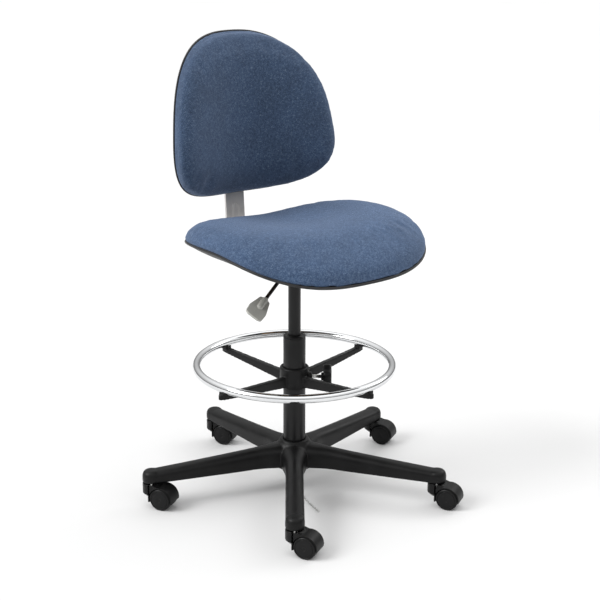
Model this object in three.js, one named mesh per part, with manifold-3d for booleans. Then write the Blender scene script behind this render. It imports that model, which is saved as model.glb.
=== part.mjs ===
// A drafting chair: five-arm caster base, gas lift, sliding footring, upholstered seat and back.
// Units are millimetres and +Z is up. The sitter looks along -Y, and the sitter's right is -X.
// The origin is on the floor, in the middle of the chair's footprint.
import * as THREE from "three";
import { mergeVertices } from "three/addons/utils/BufferGeometryUtils.js";
import Module from "manifold-3d";

const wasm = await Module();
wasm.setup();

// ---- Driving dimensions ----
const GAP = 0.3; // clearance between two touching pieces
const COLUMN_AT = [-12.8, -12.4]; // the column's axis, as seen from the middle of the footprint

const ARMS = 5;
const FIRST_ARM = -126.7; // degrees from +X
const STEM_CIRCLE = 333; // radius of the circle of caster stems
const ARM_WIDTH = 40;
const ARM_ROOT = { bottom: 60, top: 113 };
const ARM_TIP = { bottom: 58, top: 85 };
const ARM_WALL = 5;
const HUB = { radius: 44, rim: 31, bottom: 52, top: 120 };

const WHEEL = { radius: 25, sides: 16, near: 3.6, far: 21.5, cap: 4 };
const AXLE = { radius: 4, height: WHEEL.radius * Math.cos(Math.PI / WHEEL.sides) };
const TRAIL = 29; // stem axis to axle, level
const TRAIL_HEADING = -60; // degrees from +X
const HOOD = { radius: 27.8, width: 41, web: 6, well: 26, nose: 20.5, top: 56, sill: 13 };
const STEM = { radius: 5.5, bottom: 44, top: 79 };

const TUBE = { radius: 25, bore: 22.5, bottom: 40, top: 361, floor: 4 };
const BUSH = { bottom: 300, lip: 5 };
const CYLINDER = { radius: 14, bore: 12, bottom: 190, top: 526, gland: 13 };
const ROD = { radius: 5, bottom: 34, head: 317, headRadius: 11.6, top: 329 };
const BUTTON = { radius: 4, bottom: 505, top: 531.5 };

const RING = { radius: 219, tube: 9.5, height: 297 };
const RING_HUB = { bottom: 243, top: 293, bore: 27.1, topRadius: 33, bottomRadius: 30.5 };
const SPOKES = 4;
const FIRST_SPOKE = 9.5;
const SPOKE = { width: 12, root: [248, 273], tip: [273, 285] };
const CLAMP_HEADING = -39;
const CLAMP_HEIGHT = 268;

const HOUSING = { halfWidth: 45, front: -80, back: 100, bottom: 515, top: 552 };
const FLANGE = { halfWidth: 80, front: -75, back: 85, bottom: 549 };
const SCREW_AT = [68, -62, 72]; // half the spacing across, then front and back
const PAN = { halfWidth: 112, front: 100, back: 106, bottom: 552.3, top: 557 };

const LEVER = { heading: 210, droop: 16.6, height: 538, radius: 4, pivot: 30 };
const PADDLE = { start: 163, end: 231, root: 24, tip: 40, thick: 5, roll: -38 };

const BAR = { width: 50.8, thick: 6, level: 545, front: 30, bend: 32, top: 20, behind: 20 };
const DEPTH_FORWARD = 20; // how far the back can be moved forward from where it stands
const RIB = { width: 24, height: 1.6, start: 125, top: 626 };

const SEAT = { halfWidth: 243, front: 212, back: 218, power: 2.8, forward: 42 };
const SEAT_RIM = { height: 590, drop: 36, dropPower: 3.5, curl: 20, rear: -10 };
const SEAT_PAD = { crown: 54, dish: 20, side: 8 };
const SEAT_SHELL = { middle: 562, wall: 4 };

const BACK = { halfWidth: 199, up: 186, down: 168, upPower: 2.6, downPower: 3, narrowing: 0.14 };
const BACK_AT = { y: 223.7, z: 825, lean: 0.068, curve: 0.0035 };
const BACK_PAD = { crown: 59, rear: 8.6 };
const BACK_SHELL = { rear: 14, wall: 5 };
const TRIM = 3; // radius of the edge strip round the seat and the back
const BRACKET = { halfWidth: 30, bottom: -105, top: 35, front: 14.3, back: 28 };
const HEIGHT_KNOB_UP = -62; // the height knob, up from the middle of the back

const KNOB = { radius: 29, thick: 18, lobes: 6, stud: 4 };
const SMALL_KNOB = { radius: 21, thick: 16, lobes: 6, stud: 4 };

// The chain's route in the column's frame, from the eye under the hub to its bare end.
const CHAIN_ROUTE = [
  [-13, -39, 43], [-14.5, -43, 33], [-16.5, -48, 21], [-19, -54.5, 10.5], [-22, -62, 4.4],
  [-25, -70, 2.3], [-28.5, -82, 2.2], [-32, -95, 2.2], [-35, -108, 2.2], [-38, -122, 2.2],
  [-40.5, -135, 2.2], [-42.7, -147.6, 2.2],
];
const CHAIN_RADIUS = 2.1;

// ---- Materials ----
const paint = (color, roughness, metalness = 0) =>
  new THREE.MeshStandardMaterial({ color, roughness, metalness });
const MATERIALS = {
  nylon: () => paint(0x17181a, 0.5),
  tyre: () => paint(0x1d1e20, 0.6),
  satinBlack: () => paint(0x141517, 0.42, 0.5),
  chrome: () => paint(0xd6d8da, 0.12, 1),
  steel: () => paint(0x9fa1a2, 0.35, 1),
  greySteel: () => paint(0xb2aea8, 0.45, 0.6),
  greyPlastic: () => paint(0xa3a39c, 0.5),
  fabric: () => paint(0x46566f, 0.95),
  plywood: () => paint(0xa98a62, 0.8),
};

// ---- Solids ----
const radians = THREE.MathUtils.degToRad;
const circle = (radius) => new THREE.Shape().absarc(0, 0, radius, 0, Math.PI * 2);
const box = (x0, x1, y0, y1, z0, z1) =>
  new THREE.BoxGeometry(x1 - x0, y1 - y0, z1 - z0)
    .translate((x0 + x1) / 2, (y0 + y1) / 2, (z0 + z1) / 2);

function welded(geometry) {
  const bare = geometry.index ? geometry.toNonIndexed() : geometry.clone();
  bare.deleteAttribute("normal");
  bare.deleteAttribute("uv");
  return mergeVertices(bare, 1e-4);
}

function solidOf(geometry) {
  const mesh = welded(geometry);
  const vertProperties = mesh.attributes.position.array;
  const triVerts = new Uint32Array(mesh.index.array);
  return new wasm.Manifold(new wasm.Mesh({ numProp: 3, vertProperties, triVerts }));
}

function geometryOf(solid) {
  const mesh = solid.getMesh();
  const geometry = new THREE.BufferGeometry();
  geometry.setAttribute("position", new THREE.BufferAttribute(mesh.vertProperties, 3));
  geometry.setIndex(new THREE.BufferAttribute(mesh.triVerts, 1));
  return geometry;
}

const join = (first, ...more) =>
  geometryOf(more.reduce((solid, next) => solid.add(solidOf(next)), solidOf(first)));
const cut = (first, ...tools) =>
  geometryOf(tools.reduce((solid, tool) => solid.subtract(solidOf(tool)), solidOf(first)));

// Turns a closed outline of [radius, height] points about Z. An outline that touches the axis
// starts and ends on it. Outlines go anticlockwise, up the outside and down the inside.
function turned(outline, sides = 20) {
  const points = outline.map(([r, z]) => new THREE.Vector2(r, z));
  return new THREE.LatheGeometry(points, sides).rotateX(Math.PI / 2);
}

const rod = (radius, bottom, top, sides = 20) =>
  turned([[0, bottom], [radius, bottom], [radius, top], [0, top]], sides);
const sleeve = (bore, radius, bottom, top, sides = 20) =>
  turned([[bore, bottom], [radius, bottom], [radius, top], [bore, top], [bore, bottom]], sides);

// Moves every vertex to where the given function sends it.
function warped(geometry, move) {
  const place = geometry.attributes.position;
  const point = new THREE.Vector3();
  for (let i = 0; i < place.count; i++) {
    move(point.fromBufferAttribute(place, i));
    place.setXYZ(i, point.x, point.y, point.z);
  }
  return geometry;
}

// Extrudes a shape that is drawn in the YZ plane across X, centred on X = 0.
const ACROSS = new THREE.Matrix4().makeBasis(
  new THREE.Vector3(0, 1, 0), new THREE.Vector3(0, 0, 1), new THREE.Vector3(1, 0, 0));
const extrudedAcross = (shape, width, curveSegments = 8) =>
  new THREE.ExtrudeGeometry(shape, { depth: width, bevelEnabled: false, curveSegments })
    .translate(0, 0, -width / 2)
    .applyMatrix4(ACROSS);

// A superellipse's point at an angle, with its own reach and power on the far and near sides.
function superellipse(angle, halfWidth, far, near, farPower, nearPower = farPower) {
  const [c, s] = [Math.cos(angle), Math.sin(angle)];
  const [reach, power] = s >= 0 ? [far, farPower] : [near, nearPower];
  const bent = (v) => Math.sign(v) * Math.abs(v) ** (2 / power);
  return new THREE.Vector2(halfWidth * bent(c), reach * bent(s));
}

// A closed pad over an outline: under() and over() give its two faces' heights at a share of
// the way out from the middle, and a wall joins them at the rim. Both faces are split along
// the same diagonals, so that one pad can lie on another.
function pad(outline, under, over, shares = [0.4, 0.7, 0.88, 0.97, 1], sides = 36) {
  const place = [];
  const faces = [];
  const ring = (share, height) => {
    for (let i = 0; i < sides; i++) {
      const p = outline((i / sides) * Math.PI * 2).multiplyScalar(share);
      place.push(p.x, p.y, height(p.x, p.y, share));
    }
  };
  place.push(0, 0, under(0, 0, 0));
  shares.forEach((share) => ring(share, under));
  [...shares].reverse().forEach((share) => ring(share, over));
  place.push(0, 0, over(0, 0, 0));
  const rings = shares.length * 2;
  const at = (r, i) => 1 + r * sides + (i % sides);
  for (let i = 0; i < sides; i++) {
    faces.push(0, at(0, i + 1), at(0, i));
    for (let r = 0; r < rings - 1; r++) {
      const [a, b, c, d] = [at(r, i), at(r, i + 1), at(r + 1, i + 1), at(r + 1, i)];
      faces.push(...(r < shares.length ? [a, b, c, a, c, d] : [a, b, d, b, c, d]));
    }
    faces.push(at(rings - 1, i), at(rings - 1, i + 1), 1 + rings * sides);
  }
  const geometry = new THREE.BufferGeometry();
  geometry.setAttribute("position", new THREE.Float32BufferAttribute(place, 3));
  return geometry.setIndex(faces);
}

// A round strip that follows an outline's rim, just outside it, at a height from height().
function edging(outline, height, radius = TRIM) {
  const reach = 100;
  const strip = new THREE.TorusGeometry(reach, radius, 5, 48);
  return warped(strip, (p) => {
    const angle = Math.atan2(p.y, p.x);
    const rim = outline(angle);
    const ahead = outline(angle + 0.01).sub(outline(angle - 0.01)).normalize();
    const out = Math.hypot(p.x, p.y) - reach + radius + GAP;
    const z = height(rim.x, rim.y) + p.z;
    p.set(rim.x + ahead.y * out, rim.y - ahead.x * out, z);
  });
}

function node(name, geometry, material) {
  const mesh = new THREE.Mesh(geometry, MATERIALS[material]());
  mesh.name = name;
  return mesh;
}

function group(position, heading, ...children) {
  const made = new THREE.Group();
  made.position.set(...position);
  made.rotation.z = radians(heading);
  return made.add(...children);
}

// ---- Base ----
// One arm along +X: a rounded bar that tapers from the hub out to its caster boss.
function arm(inset = 0) {
  const section = new THREE.Shape();
  section.moveTo(-0.5, 0).lineTo(0.5, 0).lineTo(0.5, 0.62);
  section.bezierCurveTo(0.5, 0.88, 0.3, 1, 0, 1);
  section.bezierCurveTo(-0.3, 1, -0.5, 0.88, -0.5, 0.62);
  const settings = { depth: 1, steps: 2, bevelEnabled: false, curveSegments: 3 };
  const bar = new THREE.ExtrudeGeometry(section, settings).applyMatrix4(
    new THREE.Matrix4().makeBasis(
      new THREE.Vector3(0, 1, 0), new THREE.Vector3(0, 0, 1), new THREE.Vector3(1, 0, 0)));
  const [start, end] = inset ? [HUB.radius + 14, STEM_CIRCLE - 30] : [HUB.rim, STEM_CIRCLE];
  return warped(bar, (p) => {
    const x = start + p.x * (end - start);
    const along = (x - HUB.rim) / (STEM_CIRCLE - HUB.rim);
    const bottom = THREE.MathUtils.lerp(ARM_ROOT.bottom, ARM_TIP.bottom, along) - (inset ? 1 : 0);
    const top = THREE.MathUtils.lerp(ARM_ROOT.top, ARM_TIP.top, along ** 0.85) - inset;
    p.set(x, p.y * (ARM_WIDTH - 2 * inset), bottom + p.z * (top - bottom));
  });
}

function baseStar() {
  const { radius, rim, bottom, top } = HUB;
  const hub = turned([
    [TUBE.radius + GAP, bottom], [radius, bottom], [radius + 2, 66], [radius + 1, 96],
    [rim + 4, 110], [rim, top], [TUBE.radius + GAP, top], [TUBE.radius + GAP, bottom],
  ]);
  const boss = turned([
    [0, ARM_TIP.bottom], [23, ARM_TIP.bottom], [23, 76], [20, 82.5], [13, ARM_TIP.top],
    [0, ARM_TIP.top + 0.5],
  ], 16);
  const bore = rod(STEM.radius + GAP, ARM_TIP.bottom - 1, STEM.top + 1, 10);
  const well = rod(TUBE.radius + GAP, bottom - 1, top + 1);
  const turn = (geometry, k) => geometry.clone().rotateZ(radians(FIRST_ARM + (k * 360) / ARMS));
  const arms = [...Array(ARMS).keys()];
  const body = join(
    hub,
    ...arms.map((k) => turn(arm(), k)),
    ...arms.map((k) => turn(boss.clone().translate(STEM_CIRCLE, 0, 0), k)),
  );
  return cut(
    body,
    well,
    ...arms.map((k) => turn(arm(ARM_WALL), k)),
    ...arms.map((k) => turn(bore.clone().translate(STEM_CIRCLE, 0, 0), k)),
  );
}

// ---- Casters ----
// In a caster's own frame the stem stands on the origin and the axle trails along +X.
// A block round the stem that sweeps over both wheels, with a well cut from each side.
function hood() {
  const { radius, width, web, well, nose, top, sill } = HOOD;
  const { height } = AXLE;
  const side = new THREE.Shape();
  side.moveTo(-nose, sill + 12).lineTo(-nose, top).lineTo(TRAIL - 15, top);
  side.absarc(TRAIL, height, radius, radians(100), radians(-12), true);
  side.lineTo(TRAIL + 16, sill + 1).lineTo(TRAIL - 6, sill).lineTo(3, sill + 2);
  const block = new THREE.ExtrudeGeometry(side, { depth: width, bevelEnabled: false, curveSegments: 12 })
    .translate(0, 0, -width / 2)
    .rotateX(Math.PI / 2);
  const across = (geometry) => geometry.rotateX(Math.PI / 2).translate(TRAIL, 0, height);
  const corners = cut(box(-width, 0, -width, width, 0, top + 1), rod(nose, -1, top + 2, 24));
  return cut(
    block,
    corners,
    across(rod(well, web / 2, width, 24)),
    across(rod(well, -width, -web / 2, 24)),
    across(rod(AXLE.radius + GAP, -width, width, 12)),
    rod(STEM.radius + GAP, STEM.bottom - GAP, STEM.top, 12),
  );
}

function wheel(side) {
  const { radius, sides, near, far, cap } = WHEEL;
  const outline = [
    [0, far - cap], [AXLE.radius + GAP, far - cap], [AXLE.radius + GAP, near],
    [radius - 3, near], [radius, near + 2.5], [radius, far - 4], [radius - 4, far], [0, far],
  ];
  return turned(outline, sides)
    .rotateX(side * -Math.PI / 2)
    .rotateY(Math.PI / sides)
    .translate(TRAIL, 0, AXLE.height);
}

function caster(k) {
  const name = (piece) => `caster_${k + 1}_${piece}`;
  const axleHalf = WHEEL.far - WHEEL.cap - GAP;
  const axle = rod(AXLE.radius, -axleHalf, axleHalf, 12)
    .rotateX(Math.PI / 2)
    .translate(TRAIL, 0, AXLE.height);
  const angle = radians(FIRST_ARM + (k * 360) / ARMS);
  return group(
    [STEM_CIRCLE * Math.cos(angle), STEM_CIRCLE * Math.sin(angle), 0],
    TRAIL_HEADING,
    node(name("hood"), hood(), "nylon"),
    node(name("stem"), rod(STEM.radius, STEM.bottom, STEM.top, 12), "steel"),
    node(name("axle"), axle, "steel"),
    node(name("wheel_left"), wheel(1), "tyre"),
    node(name("wheel_right"), wheel(-1), "tyre"),
  );
}

// ---- Gas lift ----
function columnTube() {
  const { radius, bore, bottom, top, floor } = TUBE;
  const hole = ROD.radius + GAP;
  return turned([
    [hole, bottom], [radius, bottom], [radius, top], [bore, top], [bore, bottom + floor],
    [hole, bottom + floor], [hole, bottom],
  ]);
}

function guideBush() {
  const outer = TUBE.bore - GAP;
  const inner = CYLINDER.radius + GAP;
  const lip = TUBE.top + GAP;
  return turned([
    [inner, BUSH.bottom], [outer, BUSH.bottom], [outer, lip], [TUBE.radius, lip],
    [TUBE.radius - 1.5, lip + BUSH.lip], [inner, lip + BUSH.lip], [inner, BUSH.bottom],
  ]);
}

function pistonRod() {
  const { radius, bottom, head, headRadius, top } = ROD;
  return turned([[0, bottom], [radius, bottom], [radius, head], [headRadius, head],
    [headRadius, top], [0, top]], 16);
}

function pressureCylinder() {
  const { radius, bore, bottom, top, gland } = CYLINDER;
  const rodHole = ROD.radius + GAP;
  const pinHole = BUTTON.radius + GAP;
  return turned([
    [rodHole, bottom], [radius, bottom], [radius, top - 1.5], [radius - 1, top], [pinHole, top],
    [pinHole, top - 6], [bore, top - 6], [bore, bottom + gland], [rodHole, bottom + gland],
    [rodHole, bottom],
  ]);
}

function lift() {
  const floor = TUBE.bottom + TUBE.floor + GAP;
  const hole = ROD.radius + GAP;
  return [
    node("column_tube", columnTube(), "satinBlack"),
    node("guide_bush", guideBush(), "nylon"),
    node("piston_rod", pistonRod(), "steel"),
    node("thrust_bearing", sleeve(hole, 12, floor, floor + 8, 16), "steel"),
    node("retaining_clip", sleeve(hole, 9, TUBE.bottom - 4, TUBE.bottom - GAP, 12), "steel"),
    node("pressure_cylinder", pressureCylinder(), "satinBlack"),
    node("release_button", rod(BUTTON.radius, BUTTON.bottom, BUTTON.top, 12), "steel"),
  ];
}

// ---- Footring ----
// A knob with rounded lobes and a stud, both along +X, with the knob's inner face at `start`.
function knob({ radius, thick, lobes, stud }, studEnd, start) {
  const rim = new THREE.Shape();
  const steps = lobes * 4;
  for (let i = 0; i < steps; i++) {
    const angle = (i / steps) * Math.PI * 2;
    const reach = radius - (radius / 14) * (1 - Math.cos(lobes * angle));
    rim[i ? "lineTo" : "moveTo"](reach * Math.cos(angle), reach * Math.sin(angle));
  }
  const settings = { depth: thick - 4, bevelThickness: 2, bevelSize: 2, bevelOffset: -2,
    bevelSegments: 1 };
  const grip = new THREE.ExtrudeGeometry(rim, settings).translate(0, 0, start + 2);
  return join(grip, rod(stud, studEnd, start + 3, 12)).rotateY(Math.PI / 2);
}

function spoke() {
  const { width, root, tip } = SPOKE;
  const side = new THREE.Shape();
  const start = RING_HUB.bore + 2;
  side.moveTo(start, root[0]).lineTo(RING.radius + 6, tip[0]).lineTo(RING.radius + 6, tip[1]);
  side.lineTo(start, root[1]);
  const blade = extrudedAcross(side, width).rotateZ(-Math.PI / 2);
  const saddle = new THREE.Shape().moveTo(-7.5, tip[1] - 1);
  saddle.lineTo(7.5, tip[1] - 1).lineTo(7.5, RING.height - 4).lineTo(-7.5, RING.height - 4);
  return join(blade, extrudedAcross(saddle, 12).rotateZ(-Math.PI / 2).translate(RING.radius, 0, 0));
}

function ringHub() {
  const { bottom, top, bore, topRadius, bottomRadius } = RING_HUB;
  const barrel = turned([
    [bore, bottom], [bottomRadius, bottom], [topRadius, bottom + 14], [topRadius, top - 3],
    [topRadius - 3, top], [bore, top], [bore, bottom],
  ]);
  const turn = (geometry, degrees) => geometry.clone().rotateZ(radians(degrees));
  const spokes = [...Array(SPOKES).keys()].map((k) =>
    turn(spoke(), FIRST_SPOKE + (k * 360) / SPOKES));
  const boss = rod(10, RING_HUB.bore + 2, 40, 16).rotateY(Math.PI / 2);
  const hole = rod(KNOB.stud + GAP, 20, 50, 12).rotateY(Math.PI / 2);
  const ring = new THREE.TorusGeometry(RING.radius, RING.tube + GAP, 8, 48);
  return cut(
    join(barrel, ...spokes, turn(boss.translate(0, 0, CLAMP_HEIGHT), CLAMP_HEADING)),
    turn(hole.translate(0, 0, CLAMP_HEIGHT), CLAMP_HEADING),
    ring.translate(0, 0, RING.height),
  );
}

function footring() {
  const { bottom, top, bore } = RING_HUB;
  const ring = new THREE.TorusGeometry(RING.radius, RING.tube, 8, 48);
  const padDisc = rod(KNOB.stud - GAP, bore + GAP, bore + 2.5, 12).rotateY(Math.PI / 2);
  const bush = sleeve(TUBE.radius + GAP, bore - GAP, bottom + 1, top - 1);
  return [
    node("footring_bush", bush, "nylon"),
    node("footring_hub", ringHub(), "nylon"),
    node("footring_ring", ring.translate(0, 0, RING.height), "chrome"),
    group([0, 0, CLAMP_HEIGHT], CLAMP_HEADING,
      node("clamp_pad", padDisc, "steel"),
      node("clamp_knob", knob(KNOB, bore + 2.8, 65), "nylon")),
  ];
}

// ---- Seat mechanism ----
// In the lever's own frame +X runs out along the rod from above the button.
function inLeverFrame(geometry) {
  return geometry
    .rotateY(radians(LEVER.droop))
    .rotateZ(radians(LEVER.heading))
    .translate(0, 0, LEVER.height);
}

const pivotAlong = LEVER.pivot / Math.cos(radians(LEVER.droop));

function housing() {
  const { halfWidth, front, back, bottom, top } = HOUSING;
  const body = box(-halfWidth, halfWidth, front, back, bottom, top);
  const flange = box(
    -FLANGE.halfWidth, FLANGE.halfWidth, FLANGE.front, FLANGE.back, FLANGE.bottom, top);
  const wall = 5;
  const inner = halfWidth - wall;
  const block = 24; // half the depth of the solid block round the gas lift's socket
  const under = BAR.level - BAR.thick / 2 - GAP;
  const slotHalf = BAR.width / 2 + GAP;
  const [across, nearFront, nearBack] = SCREW_AT;
  const holes = [-across, across].flatMap((x) =>
    [nearFront, nearBack].map((y) => rod(3 + GAP, 540, 560, 12).translate(x, y, 0)));
  return cut(
    join(body, flange),
    rod(CYLINDER.radius + 0.4, bottom - 1, CYLINDER.top + GAP),
    rod(BUTTON.radius + 3, CYLINDER.top - 1, LEVER.height + 4, 16),
    box(-inner, inner, front + wall, -block - 16, bottom - 1, top - 6),
    box(-inner, inner, block, back - wall, bottom - 1, under - 6),
    box(-slotHalf, slotHalf, BAR.front - DEPTH_FORWARD - 1, back + 1, under, under + BAR.thick + 2 * GAP),
    rod(SMALL_KNOB.stud + GAP, under - 8, under + 1, 12).translate(0, 66, 0),
    inLeverFrame(box(-11, 80, -6.5, 6.5, -8.5, 9.5)),
    inLeverFrame(rod(2 + GAP, -17, 17, 12).rotateX(Math.PI / 2).translate(pivotAlong, 0, 0)),
    ...holes,
  );
}

function leverRod() {
  const shaft = rod(LEVER.radius, -6, PADDLE.start + 16, 16).rotateY(Math.PI / 2);
  const eye = rod(6.5, -4, 4, 16).rotateX(Math.PI / 2).translate(pivotAlong, 0, 0);
  const hole = rod(2 + GAP, -20, 20, 12).rotateX(Math.PI / 2).translate(pivotAlong, 0, 0);
  return inLeverFrame(cut(join(shaft, eye), hole));
}

// A flat grip that widens outwards and is rolled about the rod, with its front edge lower.
function leverPaddle() {
  const { start, end, root, tip, thick, roll } = PADDLE;
  const outline = new THREE.Shape();
  outline.moveTo(start + 2, -root / 2).lineTo(end - 20, -tip / 2).lineTo(end - 7, -tip / 2);
  outline.quadraticCurveTo(end, -tip / 2, end, -tip / 2 + 8);
  outline.lineTo(end, tip / 2 - 8).quadraticCurveTo(end, tip / 2, end - 7, tip / 2);
  outline.lineTo(end - 20, tip / 2).lineTo(start + 2, root / 2);
  const settings = { depth: thick, bevelEnabled: false, curveSegments: 4 };
  const plate = new THREE.ExtrudeGeometry(outline, settings).translate(0, 0, -thick / 2);
  const barrel = rod(7, start, start + 26, 16).rotateY(Math.PI / 2);
  const socket = rod(LEVER.radius + GAP, start - 1, start + 17, 16).rotateY(Math.PI / 2);
  return inLeverFrame(cut(join(plate.rotateX(radians(roll)), barrel), socket));
}

function seatScrew() {
  return turned([[0, 544.5], [5, 544.5], [6.2, 546], [6.2, 548.7], [3, 548.7], [3, 556], [0, 556]],
    12);
}

function seatPan() {
  const outline = (angle) => superellipse(angle, PAN.halfWidth, PAN.back, PAN.front, 3.4);
  const plate = pad(outline, () => PAN.bottom, () => PAN.top, [1], 32);
  const [across, nearFront, nearBack] = SCREW_AT;
  const holes = [-across, across].flatMap((x) =>
    [nearFront, nearBack].map((y) => rod(3 + GAP, 540, 570, 12).translate(x, y, 0)));
  return cut(plate, ...holes);
}

function mechanism() {
  const pin = rod(2, -16, 16, 12).rotateX(Math.PI / 2).translate(pivotAlong, 0, 0);
  const [across, nearFront, nearBack] = SCREW_AT;
  const places = [[-across, nearFront], [across, nearFront], [-across, nearBack], [across, nearBack]];
  const depthKnob = knob(SMALL_KNOB, -BAR.level + BAR.thick / 2 + GAP, -506 + SMALL_KNOB.thick)
    .rotateY(Math.PI / 2);
  return [
    node("mechanism_housing", housing(), "satinBlack"),
    node("lever_pivot_pin", inLeverFrame(pin), "steel"),
    node("lever_rod", leverRod(), "satinBlack"),
    node("lever_paddle", leverPaddle(), "greyPlastic"),
    node("depth_knob", depthKnob.translate(0, 66, 0), "nylon"),
    node("seat_pan", seatPan(), "plywood"),
    ...places.map(([x, y], i) =>
      node(`seat_screw_${i + 1}`, seatScrew().translate(x, y, 0), "steel")),
  ];
}

// ---- Seat ----
const seatOutline = (angle) =>
  superellipse(angle, SEAT.halfWidth, SEAT.back, SEAT.front, SEAT.power);

// The rim's height over a point of the plan, with the sitter's front at negative y.
function seatRim(x, y) {
  const front = Math.max(0, -y / SEAT.front);
  const rear = Math.max(0, y / SEAT.back);
  const flat = 1 - THREE.MathUtils.smoothstep(front, 0, 1);
  return SEAT_RIM.height - SEAT_RIM.drop * front ** SEAT_RIM.dropPower
    + SEAT_RIM.rear * rear ** 2 + SEAT_RIM.curl * (x / SEAT.halfWidth) ** 2 * flat;
}

const seatFloor = (x, y, share) =>
  THREE.MathUtils.lerp(SEAT_SHELL.middle, seatRim(x, y) - SEAT_PAD.side - GAP, share ** 4);

function seatTop(x, y, share) {
  const crown = SEAT_PAD.crown * (1 - Math.min(share, 1) ** SEAT.power) ** (1 / SEAT.power);
  const [dx, dy] = [x / (0.6 * SEAT.halfWidth), (y - 0.25 * SEAT.back) / (0.55 * SEAT.back)];
  return seatRim(x, y) + crown - SEAT_PAD.dish * Math.exp(-dx * dx - dy * dy);
}

function seat() {
  const shell = pad(seatOutline, (...p) => seatFloor(...p) - SEAT_SHELL.wall, seatFloor);
  const cushion = pad(seatOutline, (...p) => seatFloor(...p) + GAP, seatTop);
  const trim = edging(seatOutline, (x, y) => seatRim(x, y) - SEAT_PAD.side - 1);
  return group([0, -SEAT.forward, 0], 0,
    node("seat_shell", shell, "nylon"),
    node("seat_trim", trim, "nylon"),
    node("seat_cushion", cushion, "fabric"));
}

// ---- Back ----
// The back is drawn with x across, y up its face and z forward, then set up on its lean.
function backOutline(angle) {
  const p = superellipse(
    angle, BACK.halfWidth, BACK.up, BACK.down, BACK.upPower, BACK.downPower);
  p.x *= 1 - (BACK.narrowing * p.y) / BACK.up;
  return p;
}

const onBack = (x, up, forward) => [
  x, BACK_AT.y + up * BACK_AT.lean - (BACK_AT.curve * x * x) / 2 - forward, BACK_AT.z + up];
const stoodUp = (geometry) => warped(geometry, (p) => p.set(...onBack(p.x, p.y, p.z)));

function back() {
  const rear = -BACK_SHELL.rear;
  const crown = (x, y, share) => BACK_PAD.crown * (1 - Math.min(share, 1) ** 3.4) ** (1 / 3.4);
  const shell = pad(backOutline, () => rear, () => rear + BACK_SHELL.wall);
  const cushion = pad(backOutline, () => -BACK_PAD.rear, crown);
  return [
    node("back_shell", stoodUp(shell), "nylon"),
    node("back_trim", stoodUp(edging(backOutline, () => -BACK_PAD.rear)), "nylon"),
    node("back_cushion", stoodUp(cushion), "fabric"),
  ];
}

// The bar's middle line in the YZ plane: level out of the mechanism, round the bend, then up.
function barLine(side = 0, start = BAR.front, top = BACK_AT.z + BAR.top) {
  const lean = Math.atan(BACK_AT.lean);
  const foot = BACK_AT.y + BAR.behind - (BACK_AT.z - BAR.level) * BACK_AT.lean;
  const turn = Math.PI / 2 - lean;
  const reach = BAR.bend * Math.tan(turn / 2);
  const centre = new THREE.Vector2(foot - reach, BAR.level + BAR.bend);
  const line = [new THREE.Vector2(start, BAR.level + side)];
  const steps = 8;
  for (let i = 0; i <= steps; i++) {
    const angle = -Math.PI / 2 + (turn * i) / steps;
    const radius = BAR.bend - side;
    line.push(new THREE.Vector2(
      centre.x + radius * Math.cos(angle), centre.y + radius * Math.sin(angle)));
  }
  const last = line[line.length - 1];
  line.push(new THREE.Vector2(last.x + (top - last.y) * BACK_AT.lean, top));
  return line;
}

// A strap's outline between two lines that run beside the bar's middle line.
function strap(lower, upper, start, top) {
  const edge = [...barLine(lower, start, top), ...barLine(upper, start, top).reverse()];
  return new THREE.Shape(edge);
}

function backUpright() {
  const half = BAR.thick / 2;
  const rib = extrudedAcross(strap(0, half + RIB.height, RIB.start, RIB.top), RIB.width);
  return join(extrudedAcross(strap(-half, half), BAR.width), rib);
}

// A channel behind the back that holds the bar's top and carries the height knob.
function backBracket() {
  const { halfWidth, bottom, top, front, back: rear } = BRACKET;
  const inner = BAR.width / 2 + 0.4;
  const [slotFront, slotBack] = [BAR.behind - BAR.thick / 2 - 0.4, BAR.behind + BAR.thick / 2 + 0.4];
  const outer = box(-halfWidth, halfWidth, front, rear, bottom, top);
  const channel = box(-inner, inner, slotFront, slotBack, bottom - 1, top + 1);
  const hole = rod(SMALL_KNOB.stud + GAP, slotBack - 1, rear + 1, 12)
    .rotateX(-Math.PI / 2)
    .translate(0, 0, HEIGHT_KNOB_UP);
  return warped(cut(outer, channel, hole), (p) =>
    p.set(p.x, BACK_AT.y + p.z * BACK_AT.lean + p.y, BACK_AT.z + p.z));
}

function backSupport() {
  const y = BACK_AT.y + HEIGHT_KNOB_UP * BACK_AT.lean;
  const heightKnob = knob(SMALL_KNOB, BAR.behind + BAR.thick / 2 + 1, BRACKET.back + 6)
    .rotateZ(Math.PI / 2)
    .translate(0, y, BACK_AT.z + HEIGHT_KNOB_UP);
  return [
    node("back_upright", backUpright(), "greySteel"),
    node("back_bracket", backBracket(), "satinBlack"),
    node("height_knob", heightKnob, "nylon"),
  ];
}

// ---- Grounding chain ----
function chain() {
  const points = CHAIN_ROUTE.map((p) => new THREE.Vector3(...p));
  const path = new THREE.CatmullRomCurve3(points);
  const section = new THREE.Shape();
  for (let i = 0; i < 8; i++) {
    const angle = (i * Math.PI) / 4;
    section[i ? "lineTo" : "moveTo"](CHAIN_RADIUS * Math.cos(angle), CHAIN_RADIUS * Math.sin(angle));
  }
  const settings = { steps: 22, bevelEnabled: false, extrudePath: path };
  const [x, y, z] = CHAIN_ROUTE[0];
  const eye = box(x - 4, x + 4, y - 3, y + 3, z + CHAIN_RADIUS + 1, HUB.bottom - GAP);
  return [
    node("chain_eye", eye, "steel"),
    node("drag_chain", new THREE.ExtrudeGeometry(section, settings), "steel"),
  ];
}

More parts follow.
